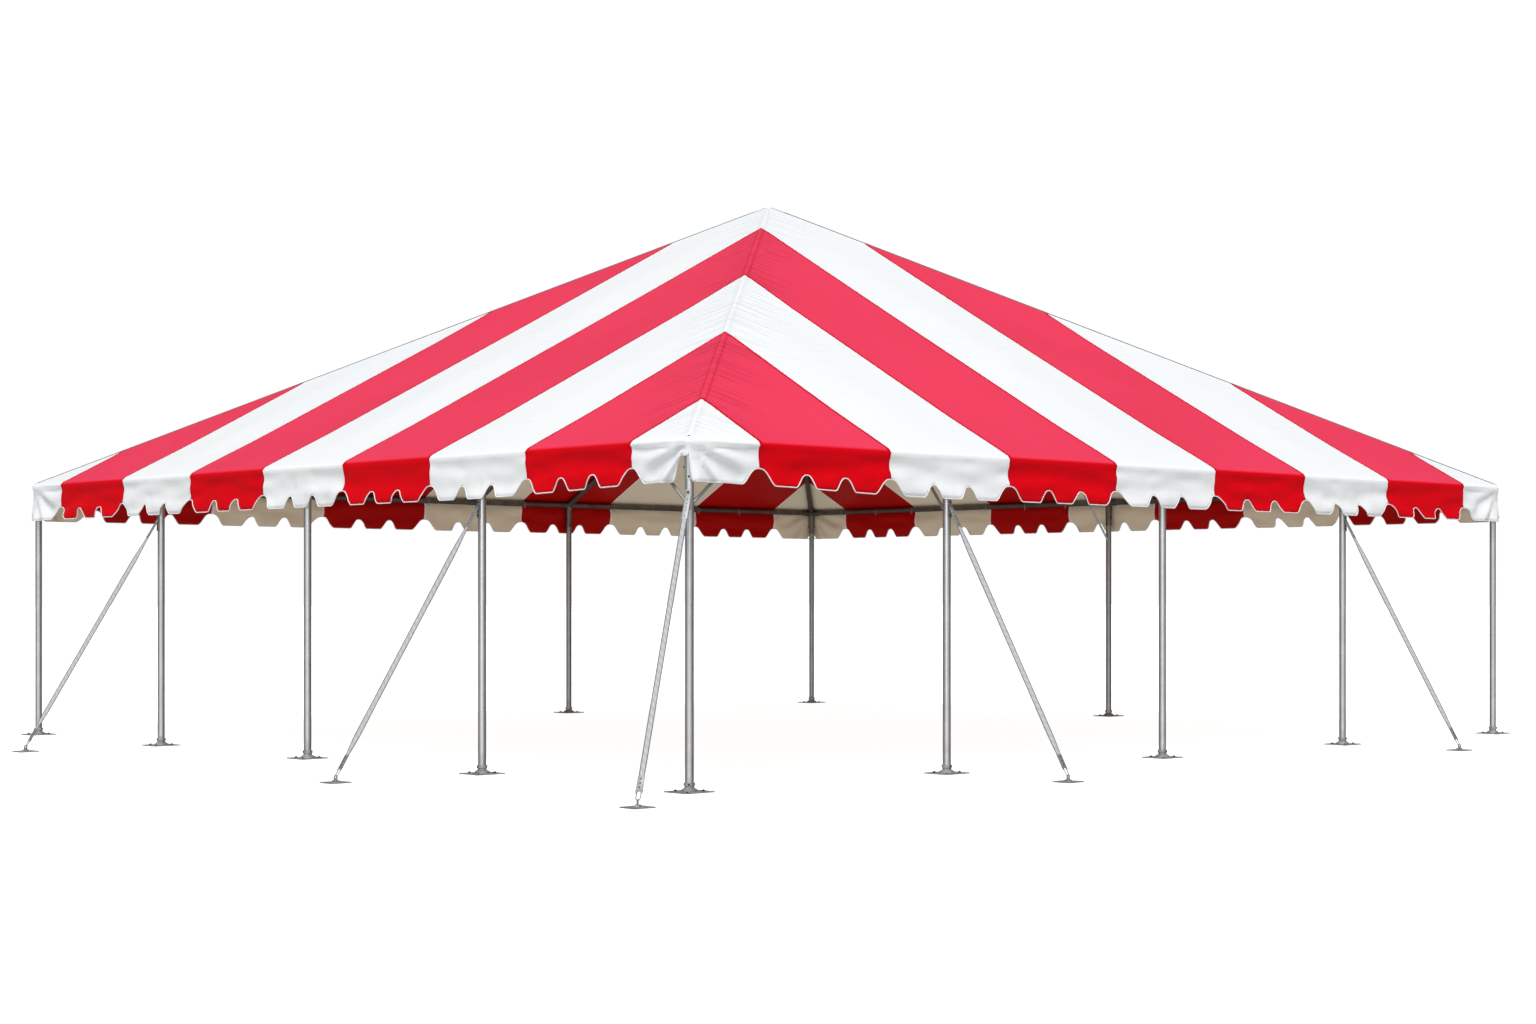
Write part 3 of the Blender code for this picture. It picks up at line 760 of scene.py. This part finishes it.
# The link, and the fork with its ears, its pin and its rivets, which lie along it from its low end
LINK_BAR = 0.0045
LINK_WIDTH = 0.043
LINK_LENGTH = 0.088
LINK_RISE = 0.003
FORK_WIDTH = 0.056
FORK_LENGTH = 0.13
FORK_OVERLAP = 0.002
CHEEK_OUT = 0.0037
EAR_WIDTH = 0.013
EAR_LENGTH = 0.03
EAR_DROP = 0.008
PIN_RISE = 0.004
PIN_RADIUS = 0.0042
PIN_END = 0.0025
RIVET_PLACES = (0.03, 0.066, 0.104)
RIVET_OUT = 0.0048
RIVET_HEIGHT = 0.0032
RIVET_RADIUS = 0.0068

# The steel strip at the top, with punched holes and a slot that lie along it from its high end; the holes
# and the slot are dark discs and a dark block of painted shade, not openings
STRIP_WIDTH = 0.048
STRIP_LENGTH = 0.235
STRIP_THICKNESS = 0.0026
STRIP_OUT = 0.0032
HOLE_PLACES = (0.045, 0.085, 0.15, 0.205)
HOLE_OUT = 0.0044
HOLE_RADIUS = 0.0055
PUNCH_HEIGHT = 0.0006
SLOT_PLACE = 0.12
SLOT_OUT = 0.0046
SLOT_SIZE = (0.006, 0.0008, 0.028)

# The plate on the leg and its two bolts
PLATE_OUT = 0.0023
PLATE_MIDDLE = 2.415
PLATE_LENGTH = 0.17
PLATE_THICKNESS = 0.004
PLATE_BOLTS = (PLATE_MIDDLE + 0.06, PLATE_MIDDLE - 0.06)
PLATE_BOLT_SIZE = 0.007

# The numbers of a strap's materials
WEBBING, STRIP, DARK = 0, 1, 2

# The turn of each strap's way out from the front, and the twist of its webbing, in degrees
STRAPS = {
    "front_left": (-54, 0),
    "left_1": (-90, 45),
    "left_3": (-90, 45),
    "front_1": (0, -45),
    "front_3": (0, -45),
}


def leg_places():
    """The ground point of each leg and the turn that brings the front's frame to face out from it."""
    places = {}
    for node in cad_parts:
        if node.startswith("leg_"):
            name = node.removeprefix("leg_")
            low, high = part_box(node)
            middle = (low + high) / 2
            turn = CORNERS[name] - 45 if name in CORNERS else SIDES[name.rsplit("_", 1)[0]]
            places[name] = (Vector((middle.x, middle.y, 0)), turn)
    return places


LEGS = leg_places()


def leg_frame(name):
    """The matrix from a frame that faces out along -Y to a leg's own place."""
    spot, turn = LEGS[name]
    return Matrix.Translation(spot) @ Matrix.Rotation(radians(turn), 4, "Z")


def facing(middle, axis, across=(1, 0, 0)):
    """A matrix whose Z runs along an axis and whose X runs across it, at a middle."""
    up = Vector(axis).normalized()
    side = Vector(across)
    side = (side - up * side.dot(up)).normalized()
    turn = Matrix((side, up.cross(side), up)).transposed().to_4x4()
    return Matrix.Translation(middle) @ turn


def set_look(verts, index):
    """Give the faces round these points the material of this number."""
    for face in {f for v in verts for f in v.link_faces}:
        face.material_index = index


def add_block(bm, size, matrix, bevel=0.001, look=0):
    """A block with rounded edges."""
    made = bmesh.ops.create_cube(bm, size=1.0, matrix=matrix @ Matrix.Diagonal((*size, 1)))["verts"]
    set_look(made, look)
    edges = list({e for v in made for e in v.link_edges})
    bmesh.ops.bevel(bm, geom=edges, offset=bevel, segments=2, profile=0.5, affect="EDGES", material=-1)


def add_rod(bm, start, end, radius, sides=20, bevel=0.0, look=0):
    """A rod between two points, with rounded rims."""
    start, end = Vector(start), Vector(end)
    axis = end - start
    matrix = Matrix.Translation((start + end) / 2) @ axis.to_track_quat("Z", "Y").to_matrix().to_4x4()
    made = bmesh.ops.create_cone(
        bm, cap_ends=True, segments=sides, radius1=radius, radius2=radius, depth=axis.length, matrix=matrix
    )["verts"]
    set_look(made, look)
    if bevel:
        edges = {e for v in made for e in v.link_edges}
        rims = [e for e in edges if abs((e.verts[0].co - e.verts[1].co).dot(axis)) < 1e-6]
        bmesh.ops.bevel(bm, geom=rims, offset=bevel, segments=2, profile=0.5, affect="EDGES", material=-1)


def add_bolt(bm, root, axis, size=0.009, look=0):
    """A washer, a six-sided head and the stub of its thread."""
    root, axis = Vector(root), Vector(axis).normalized()
    add_rod(bm, root, root + axis * size * 0.25, size * 1.55, 20, size * 0.08, look)
    add_rod(bm, root + axis * size * 0.2, root + axis * size * 0.95, size, 6, size * 0.12, look)
    add_rod(bm, root + axis * size * 0.9, root + axis * size * 1.25, size * 0.45, 12, size * 0.08, look)


def add_link(bm, matrix, look=0):
    """An oval link: two half turns of round bar joined by two straight runs."""
    bow = LINK_WIDTH / 2 - LINK_BAR
    run = LINK_LENGTH / 2 - LINK_WIDTH / 2
    start = Matrix.Translation((bow, 0, run))
    ring = bmesh.ops.create_circle(bm, segments=12, radius=LINK_BAR, matrix=start)["verts"]
    edges = list({e for v in ring for e in v.link_edges})
    for end in (1, -1):
        turned_ring = bmesh.ops.spin(
            bm, geom=edges, cent=(0, 0, end * run), axis=(0, -1, 0), angle=pi, steps=12
        )["geom_last"]
        edges = [e for e in turned_ring if isinstance(e, bmesh.types.BMEdge)]
        if end == 1:
            grown = bmesh.ops.extrude_edge_only(bm, edges=edges)["geom"]
            low = [v for v in grown if isinstance(v, bmesh.types.BMVert)]
            bmesh.ops.translate(bm, verts=low, vec=(0, 0, -2 * run))
            grown_edges = [e for e in grown if isinstance(e, bmesh.types.BMEdge)]
            edges = [e for e in grown_edges if all(v in low for v in e.verts)]
    first = [e for v in ring for e in v.link_edges if e.is_boundary]
    bmesh.ops.bridge_loops(bm, edges=list(set(edges) | set(first)))
    seen, wave = set(ring), list(ring)
    while wave:
        near = {o for v in wave for e in v.link_edges for o in e.verts}
        wave = list(near - seen)
        seen |= near
    bmesh.ops.transform(bm, matrix=matrix, verts=list(seen))
    set_look(seen, look)


def hard_piece(bm, name, finish):
    """Finish a piece of hard parts: faces outwards, smooth but for its sharp edges."""
    bmesh.ops.recalc_face_normals(bm, faces=bm.faces[:])
    piece = finish_piece(bm, name, finish)
    piece.data.set_sharp_from_angle(angle=radians(38))
    return piece


def add_webbing(bm, low, top, twist):
    """The woven strap and its stitched lap, twisted in between its flat ends, and mapped in metres."""
    length = (top - low).length
    middle = Matrix.Translation((0, 0, length / 2))
    add_block(bm, (STRAP_WIDTH, STRAP_THICKNESS, length), middle, 0.0008, WEBBING)
    lap = Matrix.Translation((0, LAP_OUT, LAP_LENGTH / 2))
    add_block(bm, (STRIP_WIDTH, LAP_THICKNESS, LAP_LENGTH), lap, 0.0006, WEBBING)
    lengthwise = bm.loops.layers.uv.new("length")
    long_edges = [e for e in bm.edges if e.calc_length() > LAP_LENGTH / 2]
    bmesh.ops.subdivide_edges(bm, edges=long_edges, cuts=TWIST_STEPS, use_grid_fill=True)
    for face in bm.faces:
        for loop in face.loops:
            loop[lengthwise].uv = (loop.vert.co.x, loop.vert.co.z)
    for vert in bm.verts:
        z = vert.co.z
        share = smooth_step(*TWIST_START, z)
        share *= 1 - smooth_step(length - TWIST_END, length - STRIP_LENGTH, z)
        vert.co = Matrix.Rotation(radians(twist * share), 3, "Z") @ vert.co
    bmesh.ops.transform(bm, matrix=facing(low, top - low), verts=bm.verts[:])


def make_strap(name, turn, twist):
    """A brace: the plate on the leg, the punched strip, the webbing, the riveted fork and its link."""
    eye = Vector((0, -STRAP_REACH, EYE_HEIGHT))
    plate_y = -(PIPE_RADIUS + PLATE_OUT)
    top = Vector((0, plate_y, STRAP_TOP))
    along = (top - eye).normalized()
    out = Vector((1, 0, 0)).cross(along)
    bm = bmesh.new()
    link_middle = eye + along * (LINK_LENGTH / 2 + LINK_RISE)
    fork_low = eye + along * (LINK_LENGTH - FORK_OVERLAP)
    add_webbing(bm, fork_low + along * STRAP_START, top, twist)
    for side in (-1, 1):
        cheek = facing(fork_low + along * FORK_LENGTH / 2 + out * side * CHEEK_OUT, along)
        add_block(bm, (FORK_WIDTH, STRIP_THICKNESS, FORK_LENGTH), cheek, 0.001, STRIP)
        for ear in (-1, 1):
            reach = Vector((ear * (FORK_WIDTH - EAR_WIDTH) / 2, 0, 0))
            tip = fork_low - along * EAR_DROP + out * side * CHEEK_OUT + reach
            add_block(bm, (EAR_WIDTH, STRIP_THICKNESS, EAR_LENGTH), facing(tip, along), 0.001, STRIP)
    pin = fork_low + along * PIN_RISE
    half_pin = Vector((FORK_WIDTH / 2 + PIN_END, 0, 0))
    add_rod(bm, pin - half_pin, pin + half_pin, PIN_RADIUS, 16, 0.0008, DARK)
    for place in RIVET_PLACES:
        rivet = fork_low + along * place + out * RIVET_OUT
        add_rod(bm, rivet, rivet + out * RIVET_HEIGHT, RIVET_RADIUS, 16, 0.0012, DARK)
    strip = facing(top - along * STRIP_LENGTH / 2 + out * STRIP_OUT, along)
    add_block(bm, (STRIP_WIDTH, STRIP_THICKNESS, STRIP_LENGTH), strip, 0.0008, STRIP)
    # The holes are dark discs of painted shade, not cut through
    for place in HOLE_PLACES:
        hole = top - along * place + out * HOLE_OUT
        add_rod(bm, hole, hole + out * PUNCH_HEIGHT, HOLE_RADIUS, 16, 0.0, DARK)
    slot = top - along * SLOT_PLACE + out * SLOT_OUT
    add_block(bm, SLOT_SIZE, facing(slot, along), 0.0003, DARK)
    plate = Matrix.Translation((0, plate_y, PLATE_MIDDLE))
    add_block(bm, (STRIP_WIDTH, PLATE_THICKNESS, PLATE_LENGTH), plate, 0.001, STRIP)
    for height in PLATE_BOLTS:
        face = (0, plate_y - PLATE_THICKNESS / 2, height)
        add_bolt(bm, face, (0, -1, 0), PLATE_BOLT_SIZE, DARK)
    add_link(bm, facing(link_middle, along), STRIP)
    place = Matrix.Translation(LEGS[name][0]) @ Matrix.Rotation(radians(turn), 4, "Z")
    bmesh.ops.transform(bm, matrix=place, verts=bm.verts[:])
    piece = hard_piece(bm, "brace_strap_" + name, [webbing, strap_steel, dark_steel])
    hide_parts("guy_strap_" + name)


# Each pair of bolts in a foot plate, as the place and the size of one; the set screw in its socket and
# the two bolts through a leg's head socket, as their heights, sizes and directions
FOOT_BOLTS = ((0.082, -0.082, 0.012), (0.118, 0.118, 0.008))
FOOT_PLATE_TOP = 0.0102
FOOT_SOCKET_RADIUS = 0.0475
SET_SCREW_HEIGHT = 0.067
SET_SCREW_SIZE = 0.006
HEAD_BOLTS = ((2.605, 0.006, (0, -1, 0)), (2.685, 0.0075, (1, 0, 0)))
HEAD_SOCKET_RADIUS = 0.0418

# The ties round the eave pipes, whose loose tails hang behind them and differ in length and lean
EAVE_PIPE_HEIGHT = 2.8923
TIES_EACH_WAY = 7
TIE_SECTION = 0.009
TIE_FLATNESS = 0.15
TIE_GAP = 0.002
TAIL_WIDTH = 0.012
TAIL_THICKNESS = 0.0016
TAIL_LENGTH = 0.045
LONGER_TAIL = 0.025
TAIL_TOP = 0.01
TAIL_GAP = 0.008
TAIL_LEAN = 0.02

# The eyelet in each corner of the cloth
EYELET_INSET = 0.028
EYELET_RISE = 0.012
EYELET_WAY = (-0.55, -0.55, 0.62)
EYELET_RADIUS = 0.013
EYELET_HOLE = 0.006


def make_foot_bolts():
    """Four bolts through each foot plate and a set screw in each socket."""
    bm = bmesh.new()
    for name, (spot, _) in LEGS.items():
        for sign in (-1, 1):
            for x, y, size in FOOT_BOLTS:
                add_bolt(bm, spot + Vector((sign * x, sign * y, FOOT_PLATE_TOP)), (0, 0, 1), size)
        face = leg_frame(name).to_3x3() @ Vector((0, -1, 0))
        screw = spot + face * FOOT_SOCKET_RADIUS + Vector((0, 0, SET_SCREW_HEIGHT))
        add_bolt(bm, screw, face, SET_SCREW_SIZE)
    hard_piece(bm, "foot_bolts", dark_steel)


def make_head_bolts():
    """Two bolts right through each leg's head socket."""
    bm = bmesh.new()
    for name in LEGS:
        matrix = leg_frame(name)
        for height, size, axis in HEAD_BOLTS:
            way = matrix.to_3x3() @ Vector(axis)
            for sign in (-1, 1):
                root = matrix.translation + way * sign * HEAD_SOCKET_RADIUS + Vector((0, 0, height))
                add_bolt(bm, root, way * sign, size)
    hard_piece(bm, "head_bolts", dark_steel)


def add_tie(bm, turn, along, tail):
    """A tie round the eave pipe, with a loose tail of a length behind it."""
    square = Matrix.Rotation(pi / 4, 4, "Z")
    tie = bmesh.ops.create_circle(bm, segments=4, radius=TIE_SECTION, matrix=square)["verts"]
    bmesh.ops.scale(bm, verts=tie, vec=(1, TIE_FLATNESS, 1))
    bmesh.ops.rotate(bm, verts=tie, matrix=Matrix.Rotation(pi / 2, 3, "X"))
    bmesh.ops.translate(bm, verts=tie, vec=(0, 0, PIPE_RADIUS + TIE_GAP))
    before = set(bm.verts) - set(tie)
    edges = list({e for v in tie for e in v.link_edges})
    bmesh.ops.spin(
        bm, geom=edges, cent=(0, 0, 0), axis=(1, 0, 0), angle=2 * pi, steps=20, use_merge=True
    )
    ring = [v for v in bm.verts if v not in before]
    beam = turned(turn, (along, -LEG_LINE, EAVE_PIPE_HEIGHT)) + CENTRE
    spin = Matrix.Rotation(radians(turn), 4, "Z")
    bmesh.ops.transform(bm, matrix=Matrix.Translation(beam) @ spin, verts=ring)
    lean = TAIL_LEAN * noise.noise(Vector((along, turn * 0.1, 2.0)))
    foot = beam + spin @ Vector((lean, PIPE_RADIUS + TAIL_GAP, -tail))
    head = beam + spin @ Vector((0, PIPE_RADIUS + TIE_GAP, TAIL_TOP))
    strip = facing((head + foot) / 2, head - foot, spin @ Vector((1, 0, 0)))
    add_block(bm, (TAIL_WIDTH, TAIL_THICKNESS, (head - foot).length), strip, 0.0004)


def make_ties():
    """The short ties that hold the cloth to the eave pipes, two a stripe but for the legs' places."""
    bm = bmesh.new()
    for turn in SIDES.values():
        for i in range(-TIES_EACH_WAY, TIES_EACH_WAY + 1):
            along = i * STRIPE / 2
            at_leg = abs(along / BAY - round(along / BAY)) < 0.1
            if not at_leg:
                add_tie(bm, turn, along, TAIL_LENGTH + LONGER_TAIL * abs(sin(i * 2.3)))
    hard_piece(bm, "eave_ties", tie_cloth)


def make_eyelets():
    """A steel eyelet in the cloth at the top of each corner, whose hole is a dark disc of painted shade."""
    bm = bmesh.new()
    for turn in CORNERS.values():
        spot = turned(turn, (-HALF + EYELET_INSET, -HALF + EYELET_INSET, EAVE + EYELET_RISE)) + CENTRE
        way = turned(turn, EYELET_WAY).normalized()
        add_rod(bm, spot - way * 0.006, spot + way * 0.004, EYELET_RADIUS, 20, 0.0015, 0)
        # The hole is a dark disc of painted shade
        add_rod(bm, spot + way * 0.0035, spot + way * 0.0046, EYELET_HOLE, 16, 0.0, 1)
    hard_piece(bm, "corner_eyelets", [steel, dark_steel])


for name, (turn, twist) in STRAPS.items():
    make_strap(name, turn, twist)
make_foot_bolts()
make_head_bolts()
make_ties()
make_eyelets()

# Floor, light and camera

FLOOR_REACH = 400
FLOOR_GREY = (0.45, 0.45, 0.45)
FLOOR_GLOW = 0.9

CAMERA_PLACE = Vector((-18.70, -21.80, 1.61))
CAMERA_HEADING = 44.2
CAMERA_LENS = 56.98
CAMERA_SHIFT = (-0.1439, 0.0555)

# The sky's tones from the horizon up, its strength and how much dimmer it is behind the tent
SKY_STOPS = (
    (0.0, (1.2, 1.175, 1.15)),
    (0.25, (0.80, 0.83, 0.87)),
    (0.55, (0.92, 0.97, 1.04)),
    (1.0, (0.95, 0.98, 1.02)),
)
SKY_STRENGTH = 0.54
DIMMER_BEHIND = 0.30
DIMMER_REFLECTION = 0.88
BACKDROP_STRENGTH = 1.05
BEHIND = (0.717, 0.697)  # the way that the camera looks

SUN_WAY = (0.56, 0.54, -1.13)
SUN_TONE = (1.0, 0.985, 0.96)
SUN_STRENGTH = 2.7
SUN_SPREAD = 24
SOFTBOX_PLACE = Vector((-21.0, -18.5, 3.2))
SOFTBOX_WAY = (0.72, 0.69, -0.05)
SOFTBOX_POWER = 300
SOFTBOX_SIZE = (2.5, 2.5)


def make_floor():
    """A white floor that takes a faint shadow and shows in no reflection."""
    bm = bmesh.new()
    bmesh.ops.create_grid(bm, x_segments=2, y_segments=2, size=FLOOR_REACH)
    mesh = bpy.data.meshes.new("floor")
    bm.to_mesh(mesh)
    bm.free()
    floor_piece = bpy.data.objects.new("floor", mesh)
    bpy.context.scene.collection.objects.link(floor_piece)
    floor_piece.visible_diffuse = False
    floor_piece.visible_glossy = False
    look = Finish("floor", Base_Color=FLOOR_GREY, Roughness=0.9, Specular_IOR_Level=0.1)
    look.set("Emission_Color", (1.0, 1.0, 1.0))
    look.set("Emission_Strength", FLOOR_GLOW)
    mesh.materials.append(look.material)


def make_world():
    """White to the eye. For light it is a soft sky, dimmer behind the tent, and in what shiny steel
    reflects it is dimmer still on that side."""
    world = bpy.data.worlds.new("studio")
    bpy.context.scene.world = world
    world.use_nodes = True
    studio = Nodes(world.node_tree)
    studio.tree.nodes.clear()
    x, y, z = studio.axes(studio.node("TexCoord", output="Generated"))
    behind = x * BEHIND[0] + y * BEHIND[1]
    colour = studio.node("ValToRGB", {"stops": SKY_STOPS}, {"Fac": z})
    strength = SKY_STRENGTH - DIMMER_BEHIND * behind.ramp(-0.4, 0.6)
    reflected = 1.0 - DIMMER_REFLECTION * behind.ramp(-1.0, -0.1)
    strength = strength + (reflected - strength) * studio.node("LightPath", output="Is Glossy Ray")
    sky = studio.node("Background", {}, {"Color": colour, "Strength": strength})
    plain = studio.node("Background", {}, {"Color": (1.0, 1.0, 1.0), "Strength": BACKDROP_STRENGTH})
    seen = studio.node("LightPath", output="Is Camera Ray")
    surface = studio.node("MixShader", {}, {0: seen, 1: sky, 2: plain})
    studio.node("OutputWorld", {}, {"Surface": surface})


def make_lamp(name, kind, towards, energy, size, place=None, colour=(1, 1, 1)):
    """A soft lamp that shines in a direction."""
    data = bpy.data.lights.new(name, kind)
    data.energy = energy
    data.color = colour
    if kind == "SUN":
        data.angle = size
    else:
        data.shape = "RECTANGLE"
        data.size, data.size_y = size
    lamp = bpy.data.objects.new(name, data)
    lamp.rotation_euler = Vector(towards).to_track_quat("-Z", "Y").to_euler()
    lamp.location = place or (0, 0, 20)
    bpy.context.scene.collection.objects.link(lamp)


def make_camera():
    """Level, at a standing height, looking at the near corner."""
    data = bpy.data.cameras.new("camera")
    data.lens = CAMERA_LENS
    data.sensor_width = 36
    data.shift_x, data.shift_y = CAMERA_SHIFT
    data.clip_end = 900
    eye = bpy.data.objects.new("camera", data)
    eye.location = CENTRE + CAMERA_PLACE
    eye.rotation_euler = (radians(90), 0, radians(CAMERA_HEADING - 90))
    bpy.context.scene.collection.objects.link(eye)
    bpy.context.scene.camera = eye


make_floor()
make_world()
make_lamp("soft_sun", "SUN", SUN_WAY, SUN_STRENGTH, radians(SUN_SPREAD), colour=SUN_TONE)
make_lamp("front_softbox", "AREA", SOFTBOX_WAY, SOFTBOX_POWER, SOFTBOX_SIZE, CENTRE + SOFTBOX_PLACE)
make_camera()
bpy.context.scene.view_settings.view_transform = "Standard"
bpy.context.scene.view_settings.look = "None"
